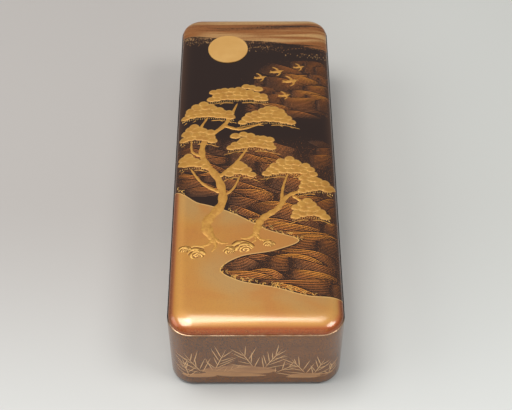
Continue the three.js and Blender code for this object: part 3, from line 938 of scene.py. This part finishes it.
# Lid, plovers. A few small birds over the far water, in the pines' raised gold: each has a body, a
# bill, two bent wings and a forked tail.
# Each bird's place and size, then a bird's own lines as for the limbs, in millimetres.
birds = [(14, 66, 1.0), (22, 58, 1.15), (4, 61, 0.9), (27, 70, 0.8), (18, 46, 0.85)]
bird_lines = [([(-3.4, -0.5), (-1.6, -0.1), (0.4, 0.2), (2.2, 0.9)], 1.9, 1.7, 0.36),
              ([(1.9, 0.8), (2.6, 1.0), (3.3, 0.8)], 0.8, 0.3, 0.25),
              ([(-0.2, 0.5), (-0.7, 2.0), (-2.0, 3.3), (-3.6, 3.9)], 1.7, 0.4, 0.3),
              ([(0.5, 0.0), (0.9, -1.3), (0.2, -2.6), (-1.2, -3.5)], 1.6, 0.4, 0.3),
              ([(-3.0, -0.4), (-4.2, 0.2), (-4.9, 0.9)], 0.9, 0.5, 0.22),
              ([(-3.0, -0.4), (-4.5, -0.7), (-5.3, -0.6)], 0.9, 0.5, 0.22)]
bird_steps = 6
bird_rows = [ridge(np.array([x, y]) + size * np.array(points), wide * size, narrow * size, height, bird_steps)
             for x, y, size in birds for points, wide, narrow, height in bird_lines]
lid_gold(joined_mesh("plovers", bird_rows), bark_gold, mound_angle)


# Lid, moon. A disc of thin gold let into the board, polished smooth and left plain. It keeps the
# solid's own mesh.
moon_bright = (0.79, 0.47, 0.165, 1)
moon_dull = (0.72, 0.40, 0.125, 1)
polish_depth = 0.02 * mm


def moon_paint(place):
    """Even gold with a faint cloud, under the finest polishing marks."""
    cloud = place.noise(60, 3, 0.3)
    return {"Base Color": cloud.step(0.35, 0.65).mix(moon_bright, moon_dull), "Metallic": 0.5,
            "Roughness": 0.34 + cloud * 0.06, "Normal": place.noise(4200).bump(0.12, polish_depth)}


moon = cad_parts["moon_disc"]
moon.material_slots[0].material = material("moon_gold", moon_paint)


# Lid, walls. Thin boards lacquered as one skin: a softened arris at the ledge, a round-edged rim just
# clear of the table, and an arched thumb notch in the middle of each long side. The gold lines on
# them stand proud of the skin by a hair, up to the boards' own size.
proud = 0.12 * mm
rim_round = 1.0 * mm
arris_round = 0.5 * mm
notch_half = 17 * mm
notch_round = 2 * mm
notch_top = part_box("ring_seat_plate_right")[1].z + 2.5 * mm
notch_fan = 24 * mm
notch_steps = 200
straight_y = plan_y - plan_radius
fan_steps = 40
end_wall_steps = 30
climbs = np.linspace(0, 1, 13)
arris_turn = np.linspace(0, math.pi / 2, 6)[1:]
rim_turn = np.linspace(0, math.pi, 11)[1:]
brown_ground = (0.056, 0.018, 0.004, 1)
brown_dust = (0.33, 0.120, 0.025, 1)
arris_wear = (0.56, 0.38, 0.25, 1)
rim_painted_shade = (0.020, 0.0075, 0.0045, 1)
end_reach = (plan_y - 12 * mm, plan_y - 4 * mm)
worn_height = (ledge_z - 0.5 * mm, ledge_z - 0.1 * mm)
black_height = (ledge_z - 1.6 * mm, ledge_z - 1.2 * mm)
rim_shade_height = (rim_z + 0.6 * mm, rim_z + 2.2 * mm)


def notch_outline(share):
    """From the notch's crown, at share 0, to where its rounded corner meets the rim, at share 1, by
    length: a quarter ellipse and then a quarter circle. Gives y, z and the unit direction into the wall."""
    turn = np.linspace(0, math.pi / 2, notch_steps)
    base = rim_z + notch_round
    rise = notch_top - base
    y = np.concatenate([notch_half * np.sin(turn), notch_half + notch_round * (1 - np.cos(turn[1:]))])
    z = np.concatenate([base + rise * np.cos(turn), base - notch_round * np.sin(turn[1:])])
    into_y = np.concatenate([np.sin(turn) / notch_half, np.cos(turn[1:])])
    into_z = np.concatenate([np.cos(turn) / rise, np.sin(turn[1:])])
    size = np.hypot(into_y, into_z)
    along = np.concatenate([[0], np.cumsum(np.hypot(np.diff(y), np.diff(z)))])
    at = share * along[-1]
    return [np.interp(at, along, values) for values in (y, z, into_y / size, into_z / size)]


fan_share = notch_fan / straight_y
plain_shares = np.linspace(0, 1 - fan_share, fan_steps + 1)[:-1]
half_shares = np.concatenate([plain_shares, 1 - fan_share * np.linspace(1, 0, fan_steps + 1)]) / 2
side_shares = np.concatenate([half_shares, 1 - half_shares[-2::-1]])
wall_table = rim_table(corner_steps, side_shares, np.linspace(0, 1, end_wall_steps + 1))
on_side = np.isclose(wall_table[:, 3], 0)
upper_y = wall_table[:, 1] * straight_y
across = np.abs(upper_y) / notch_fan
notch_y, notch_z, notch_into_y, notch_into_z = notch_outline(np.clip(across, 0, 1))
beyond = np.clip((np.abs(upper_y) - notch_fan) / (straight_y - notch_fan), 0, 1)
notch_end = notch_half + notch_round
rim_y = np.where(across < 1, notch_y, notch_end + beyond * (straight_y - notch_end)) * np.sign(upper_y)


def wall_row(depth, lift, climb):
    """One ring of the wall: depth is in from the outside face and lift the distance from the rim's
    outline; climb goes from 0 at that line to 1 at the ledge's own straight line."""
    inward = depth + proud * (1 - depth / lid_wall)
    row = rounded_rings(wall_table, [plan_x - inward], [plan_y - inward], [plan_radius - inward], [0])[0]
    low_z = np.where(on_side & (across < 1), notch_z + notch_into_z * lift, rim_z + lift)
    side_y = rim_y + np.where(across < 1, notch_into_y * lift, 0) * np.sign(upper_y)
    row[:, 1] = np.where(on_side, side_y + (upper_y - side_y) * climb, row[:, 1])
    row[:, 2] = low_z + (ledge_z - arris_round - low_z) * climb
    return row


def wall_paint(place):
    """Black lacquer under fine brown powder, worn to the pinkish under-coat along the ledge's arris. A dark
    band along the rim, just clear of the table, is painted shade.
    """
    height = place.axis(2)
    grain = dust(place)
    cloud = stretched(place, 26, 26, 60).noise(1, 3, 0.2)
    powder = grain < 0.14 + cloud * 0.56
    at_end = place.math("ABSOLUTE", place.axis(1)).step(*end_reach)
    worn = height.step(*worn_height) * place.noise(150, 4).step(0.25, 0.6) * at_end
    black_line = height.step(*black_height) * (1 - at_end)
    colour = black_line.mix(powder.mix(brown_ground, brown_dust), ground_black)
    # Painted shade: a dark band along the rim where the wall meets the table.
    colour = ((1 - height.step(*rim_shade_height)) * 0.85).mix(colour, rim_painted_shade)
    return {"Base Color": (worn * 0.8).mix(colour, arris_wear), "Metallic": powder * 0.2 + worn * 0.6,
            "Roughness": 0.16 + grain * 0.08 + worn * 0.08, "Coat Weight": 0.25, "Coat Roughness": 0.10}


outside_rows = [wall_row(0, rim_round, climb) for climb in climbs]
arris_rows = [wall_row(arris_round * (1 - math.cos(turn)), 0, 1) + [0, 0, arris_round * math.sin(turn)]
              for turn in arris_turn]
inner_top = wall_row(lid_wall, 0, 1) + [0, 0, arris_round]
inside_rows = [wall_row(lid_wall, rim_round, climb) for climb in climbs]
rim_rows = [wall_row(lid_wall * (1 + math.cos(turn)) / 2, rim_round * (1 - math.sin(turn)), 0)
            for turn in rim_turn]
wall_rows = np.array(inside_rows + [inner_top] + arris_rows[::-1] + outside_rows[::-1] + rim_rows[::-1]
                     + inside_rows[:1])
lid_walls_mesh = ring_mesh("lid_walls_lacquer", wall_rows, None, len(inside_rows))
lid_walls = finished(lid_walls_mesh, "lid", [pear_skin, material("wall_lacquer", wall_paint)])
corner_names = ["far_right", "near_left", "far_left", "near_right"]
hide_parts("lid_long_wall_left", "lid_long_wall_right", "lid_end_wall_near", "lid_end_wall_far",
            *[f"lid_corner_{name}" for name in corner_names])


# Lid, bamboo grass on the walls. Low banks in flat gold and sprays of narrow leaves, trailed in fine
# raised lines, on the near end most of all.
halves = np.linspace(0, 1, 3)
grass_table = rim_table(24, halves, halves)
wall_points = rounded_rings(grass_table, [plan_x - proud], [plan_y - proud], [plan_radius - proud], [0])[0]
wall_points = np.concatenate([wall_points, wall_points[:1]])
wall_facing = np.concatenate([grass_table, grass_table[:1]])[:, 2:]
wall_length = np.concatenate([[0], np.cumsum(np.hypot(*np.diff(wall_points[:, :2], axis=0).T))])
girth = wall_length[-1]
touching = 1e-6
at_near_middle = (wall_points[:, 1] < proud - plan_y + touching) & (wall_points[:, 0] > -touching)
near_middle = wall_length[np.argmax(at_near_middle)]
leaf_share = np.linspace(0, 1, 9)
leaf_out = 0.03 + 0.97 * leaf_share
leaf_half = 0.25 * mm
leaf_height = 0.10 * mm
# In millimetres: each clump's place along the wall and height, size, leaning angle and pairs of leaves.
near_clumps = [
    (30, 10, 17, 0.35, 4), (26, 11, 18, -0.5, 4), (38, 9, 11, 0.3, 3), (4, 16, 23, 0.45, 5),
    (-1, 17, 20, -0.4, 4), (10, 12, 15, 0.9, 3), (-22, 13, 24, 0.3, 5), (-28, 12, 22, -0.45, 5),
    (-35, 9, 17, -0.2, 4), (-17, 12, 14, 0.95, 3)]
side_middle = girth / 4
other_clumps = [2 * side_middle, side_middle + 45 * mm, side_middle - 55 * mm, -side_middle + 50 * mm,
                -side_middle - 50 * mm]
sprays_per_clump = 5
# In millimetres: each bank's place along the wall and height, half its length and height, and relief.
near_banks = [(29, 9, 12, 2.4, 0.05), (24, 7.6, 8, 1.6, 0.08), (-9, 13.5, 19, 6.0, 0.05),
              (-15, 10.8, 13, 3.0, 0.09), (-7, 9.2, 12, 2.0, 0.12), (-30, 8.8, 9, 2.6, 0.07)]
far_banks = [(2 * side_middle / mm + place, 11, 15, 3.0, 0.06) for place in (-16, 14)]
side_banks = [(side * side_middle / mm + place, 10, 14, 2.4, 0.06) for side in (-1, 1) for place in (-50, 50)]
bank_shares = np.array([0, 0.4, 0.7, 0.9, 1.0, 0.9, 0])[:, None]
bank_turn = once_round(48)
grass_bright = (0.86, 0.56, 0.30, 1)
grass_dull = (0.62, 0.33, 0.15, 1)
bank_copper = (0.56, 0.30, 0.14, 1)
bank_brown = (0.34, 0.17, 0.095, 1)
bank_fade = (11 * mm, 19 * mm)


def over_wall(along, z, lift):
    """Places on the lid's outer wall: the distance along it from the middle of the near end, to the
    right, the height, and how far they stand off it."""
    at = np.mod(along + near_middle, girth)
    x, y = (np.interp(at, wall_length, wall_points[:, k]) for k in (0, 1))
    face_x, face_y = (np.interp(at, wall_length, wall_facing[:, k]) for k in (0, 1))
    return np.stack([x + lift * face_x, y + lift * face_y, z + 0 * x], -1)


def spray_of_grass(along, z, size, leaning, pairs):
    """Leaves of one spray, as (leaf, step) paths: straight narrow leaves in pairs up a short stem that
    leans by an angle, the lower ones longer and spread wider, and one more that goes on from its tip."""
    up = np.linspace(0, 0.6, pairs).repeat(2)[:, None]
    side = np.tile([1, -1], pairs)[:, None]
    angle = leaning + side * (0.74 - 0.4 * up + draw.uniform(-0.24, 0.24, 2 * pairs)[:, None])
    reach = size * (0.64 - 0.3 * up) * draw.uniform(0.6, 1.3, 2 * pairs)[:, None]
    leaf_x = along + size * up * math.sin(leaning) + reach * leaf_out * np.sin(angle)
    leaf_z = z + size * up * math.cos(leaning) + reach * leaf_out * np.cos(angle)
    stem_x = along + size * math.sin(leaning) * leaf_out
    stem_z = z + size * math.cos(leaning) * leaf_out
    return np.concatenate([leaf_x, stem_x[None]]), np.concatenate([leaf_z, stem_z[None]])


def grass_paint(place):
    """Gold lines, bright and dull by the grain."""
    grain = dust(place)
    return {"Base Color": (grain * 0.4).mix(grass_bright, grass_dull), "Metallic": 0.5,
            "Roughness": 0.32 + grain * 0.1}


def bank_paint(place):
    """Copper at the foot of each bank, fading to brown higher up, with streaks of darker dust."""
    grain = dust(place)
    streak = stretched(place, 60, 60, 700).noise(1, 3, 0.2)
    fade = place.axis(2).step(*bank_fade) * 0.5 + streak.step(0.45, 0.65) * 0.4 + grain * 0.2
    return {"Base Color": fade.mix(bank_copper, bank_brown), "Metallic": 0.4, "Roughness": 0.34 + grain * 0.1}


leaves = [spray_of_grass(along * mm, z * mm, size * mm, leaning, pairs)
          for along, z, size, leaning, pairs in near_clumps]
for clump in other_clumps:
    for _ in range(sprays_per_clump):
        leaves.append(spray_of_grass(clump + draw.uniform(-17, 17) * mm, draw.uniform(9, 14) * mm,
                                     draw.uniform(10, 18) * mm, draw.uniform(-0.7, 0.7), 4))
leaf_along, leaf_z = (np.concatenate([leaf[k] for leaf in leaves]) for k in (0, 1))
leaf_taper = np.abs(np.sin(math.pi * leaf_share ** 0.7)) ** 0.8 + 0 * leaf_along
grass_rows = over_wall(*ribbon(leaf_along, leaf_z, leaf_half * leaf_taper, leaf_height * leaf_taper))
lid_gold(ring_mesh("wall_grass", grass_rows), material("grass_gold", grass_paint), fine_angle)

banks = np.array(near_banks + far_banks + side_banks)[:, :, None, None] * mm
bank_reach = bank_shares * (1 + 0.05 * np.sin(5 * bank_turn) + 0.03 * np.sin(11 * bank_turn))
bank_up = np.sin(bank_turn)
bank_up = np.where(bank_up > 0, bank_up, 0.45 * bank_up)
bank_along = banks[:, 0] + banks[:, 2] * bank_reach * np.cos(bank_turn)
bank_z = banks[:, 1] + banks[:, 3] * bank_reach * bank_up
bank_lift = banks[:, 4] * (1 - bank_shares ** 6) + 0 * bank_reach
bank_lift[:, -2:] = -foot_sunk
bank_rows = over_wall(bank_along, bank_z, bank_lift)
lid_gold(ring_mesh("wall_banks", bank_rows), material("bank_gold", bank_paint), fine_angle)


# Tray. The box's body: thin boards on a bottom board, lacquered as one skin with a rounded rim and a
# small cove where the walls meet the floor.
tray_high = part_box("tray_bottom_board")[1]
tray_wall_low, tray_wall_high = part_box("tray_long_wall_right")
tray_x = tray_high.x
tray_y = tray_high.y
tray_floor = tray_high.z
tray_wall = tray_x - tray_wall_low.x
tray_rim = tray_wall_high.z
tray_radius = plan_radius - (plan_x - tray_x)
tray_corner = 0.5 * mm
tray_rim_rise = 0.9 * mm
foot_round = 0.8 * mm
cove = 1.8 * mm
under_insets = np.array([40, 20]) * mm
floor_insets = np.array([14, 26, 40]) * mm
outer_heights = np.array([12, 24, 36]) * mm
inner_heights = np.array([36, 20, 10]) * mm
tray_side_shares = np.linspace(0, 1, 41)
tray_end_shares = np.linspace(0, 1, 17)
tray_table = rim_table(corner_steps, tray_side_shares, tray_end_shares)
quarter = np.linspace(0, math.pi / 2, 6)
half_turn = np.linspace(0, math.pi, 13)
lacquer_black = (0.012, 0.008, 0.0065, 1)


def black_paint(place):
    """Black lacquer, rubbed to a deep gloss, with a few stray grains of gold and faint polishing marks."""
    colour = (dust(place) < 0.035).mix(lacquer_black, copper)
    rubbed = stretched(place, 90, 90, 900).noise(1, 3, 0.2)
    return {"Base Color": colour, "Roughness": 0.10 + rubbed * 0.12, "Coat Weight": 0.5,
            "Coat Roughness": 0.05}


tray_inset = np.concatenate([
    under_insets, [foot_round * 1.5], foot_round * (1 - np.sin(quarter)), 0 * outer_heights,
    tray_wall * (1 - np.cos(half_turn)) / 2, tray_wall + 0 * inner_heights,
    tray_wall + cove * (1 - np.cos(quarter)), floor_insets])
tray_z = np.concatenate([
    0 * under_insets, [0], foot_round * (1 - np.cos(quarter)), outer_heights,
    tray_rim - tray_rim_rise * (1 - np.sin(half_turn)), inner_heights,
    tray_floor + cove * (1 - np.sin(quarter)), tray_floor + 0 * floor_insets])
tray_rows = rounded_rings(tray_table, tray_x - tray_inset, tray_y - tray_inset,
                          np.maximum(tray_radius - tray_inset, tray_corner), tray_z)
closing = [np.tile(row.mean(0), (len(row), 1)) for row in (tray_rows[0], tray_rows[-1])]
tray_rows = np.concatenate([[closing[0]], tray_rows, [closing[1]]])[::-1]
inner_edge = int(np.argmax(tray_z)) + len(half_turn) // 2
tray_mesh = ring_mesh("tray_lacquer", tray_rows, None, len(tray_z) - inner_edge)
tray = finished(tray_mesh, "tray", [pear_skin, material("black_lacquer", black_paint)])
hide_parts("tray_bottom_board", "tray_long_wall_left", "tray_long_wall_right", "tray_end_wall_near",
            "tray_end_wall_far", *[f"tray_corner_{name}" for name in corner_names])


# Ring fittings, one on each long side. A flower-edged plate of gilt copper lies on the tray's wall;
# the eye is one wire that goes through plate, wall and washer and is clinched inside.
plate_low, plate_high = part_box("ring_seat_plate_right")
washer_low, washer_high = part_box("ring_washer_right")
eye_low, eye_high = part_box("ring_eye_right")
ring_low, ring_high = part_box("cord_ring_right")
fitting_z = (plate_low.z + plate_high.z) / 2
fitting_gap = 0.3 * mm
eye_wire = 0.9 * mm
leg_offset = (eye_wire + fitting_gap) / 2
leg_hole = leg_offset + eye_wire / 2 + fitting_gap
eye_bend = eye_wire
eye_fillet = eye_wire * 0.7
petals = 8
round_sides = 96
eye_sides = 14
wire_sides = 24
bend_steps = 7
fillet_steps = 6
loop_steps = 22
metal_angle = 45
petal_depth = 0.07
plate_shares = np.array([0, 0, 0.15, 0.4, 0.65, 0.85, 0.96, 1, 1, 0.96, 0.5, 0, 0])[:, None]
height_shares = np.array([0, 0.9, 1, 0.95, 0.86, 0.72, 0.5, 0.3, 0.1, 0, 0, 0, 0])[:, None]
gilt_yellow = (0.80, 0.55, 0.22, 1)
gilt_red = (0.62, 0.32, 0.15, 1)
gilt_brown = (0.30, 0.19, 0.09, 1)
gilt_depth = 0.03 * mm


def petal_plate(low, high, lobes):
    """Rings of a round plate between two corners of its box, closed round its hole: the edge is a chain
    of petals, with a groove between each two, and the middle is raised. With no lobes it is a washer."""
    radius = (high.z - low.z) / 2
    turn = once_round(round_sides)
    petal = np.abs(np.cos(turn * lobes / 2))
    reach = leg_hole + (radius * (1 - petal_depth * (1 - petal)) - leg_hole) * plate_shares
    groove = (1 - petal ** 0.5) * np.sin(math.pi * plate_shares) * (height_shares > 0.4)
    height = (high.x - low.x) * height_shares * (1 - 0.6 * groove)
    return np.stack([low.x + height, reach * np.cos(turn), fitting_z + reach * np.sin(turn)], -1)


def carried(path, radius, sides):
    """A round wire along a path that lies in one XZ plane: the section is square to the path, and both
    ends close on its middle."""
    run = np.gradient(path, axis=0)
    run /= np.linalg.norm(run, axis=1)[:, None]
    across = np.array([0.0, 1, 0])
    over = np.cross(run, across)
    turn = once_round(sides)
    reach = np.concatenate([[0], np.full(len(path), radius), [0]])[:, None, None]
    at = np.concatenate([path[:1], path, path[-1:]])[:, None]
    over = np.concatenate([over[:1], over, over[-1:]])[:, None]
    return at + reach * (np.cos(turn)[:, None] * across + np.sin(turn)[:, None] * over)


def arc(x, z, radius, start, end, count):
    """Points of an arc in the XZ plane, round a centre, from one angle to another."""
    turn = np.linspace(start, end, count)
    return np.stack([x + radius * np.cos(turn), 0 * turn, z + radius * np.sin(turn)], 1)


def gilt_paint(place):
    """Gilt copper, rubbed through to a redder metal on high spots and dulled brown in cloudy patches."""
    rub = place.noise(700, 4, 0.3)
    cloud = place.noise(180, 3, 0.5)
    colour = rub.step(0.55, 0.75).mix(gilt_yellow, gilt_red)
    colour = (cloud.step(0.5, 0.7) * 0.6).mix(colour, gilt_brown)
    height = place.noise(5000) + rub * 2
    return {"Base Color": colour, "Metallic": 0.9, "Roughness": 0.26 + cloud * 0.3,
            "Normal": height.bump(0.3, gilt_depth)}


eye_loop = (eye_high.x - eye_wire / 2 - (plate_high.x + fitting_gap)) / 2
eye_centre = eye_high.x - eye_wire / 2 - eye_loop
clinch_x = eye_low.x + eye_wire / 2
clinch_tip = (eye_high.z - eye_low.z) / 2
fillet_z = leg_offset + eye_fillet
fillet_x = eye_centre - math.sqrt((eye_loop + eye_fillet) ** 2 - fillet_z ** 2)
spread = math.atan2(fillet_z, eye_centre - fillet_x)
half_path = np.concatenate([
    [[clinch_x, 0, clinch_tip]],
    arc(clinch_x + eye_bend, leg_offset + eye_bend, eye_bend, math.pi, 1.5 * math.pi, bend_steps),
    arc(fillet_x, fillet_z, eye_fillet, -math.pi / 2, -spread, fillet_steps)[:-1],
    arc(eye_centre, 0, eye_loop, math.pi - spread, 0, loop_steps)])
eye_path = np.concatenate([half_path, half_path[-2::-1] * [1, 1, -1]])
eye_path[:, 2] += fitting_z

# The cord ring is a torus: a small circle carried round a large one.
ring_wire = (ring_high.x - ring_low.x) / 2
ring_middle = (ring_low + ring_high) / 2
ring_reach = (ring_high.z - ring_low.z) / 2 - ring_wire
ring_turn = once_round(round_sides)
wire_turn = np.linspace(0, 2 * math.pi, wire_sides + 1)[:, None]
out = ring_reach + ring_wire * np.cos(wire_turn)
torus_x = ring_middle.x + ring_wire * np.sin(wire_turn) + 0 * ring_turn
ring_rows = np.stack([torus_x, out * np.cos(ring_turn), ring_middle.z + out * np.sin(ring_turn)], -1)

# The left side's fittings are the right side's, turned half round the box's middle.
gilt_copper = material("gilt_copper", gilt_paint)
fitting_rows = {
    "ring_seat_plate": petal_plate(plate_low, plate_high, petals),
    "ring_washer": petal_plate(washer_low, washer_high, 0),
    "ring_eye": carried(eye_path, eye_wire / 2, eye_sides),
    "cord_ring": ring_rows}
for side, turned in (("right", [1, 1, 1]), ("left", [-1, -1, 1])):
    for kind, rows in fitting_rows.items():
        body = f"ring_{side}" if kind == "cord_ring" else "tray"
        fitting = finished(ring_mesh(f"{kind}_{side}_gilt", rows * turned), body, [gilt_copper], metal_angle)
        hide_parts(f"{kind}_{side}")
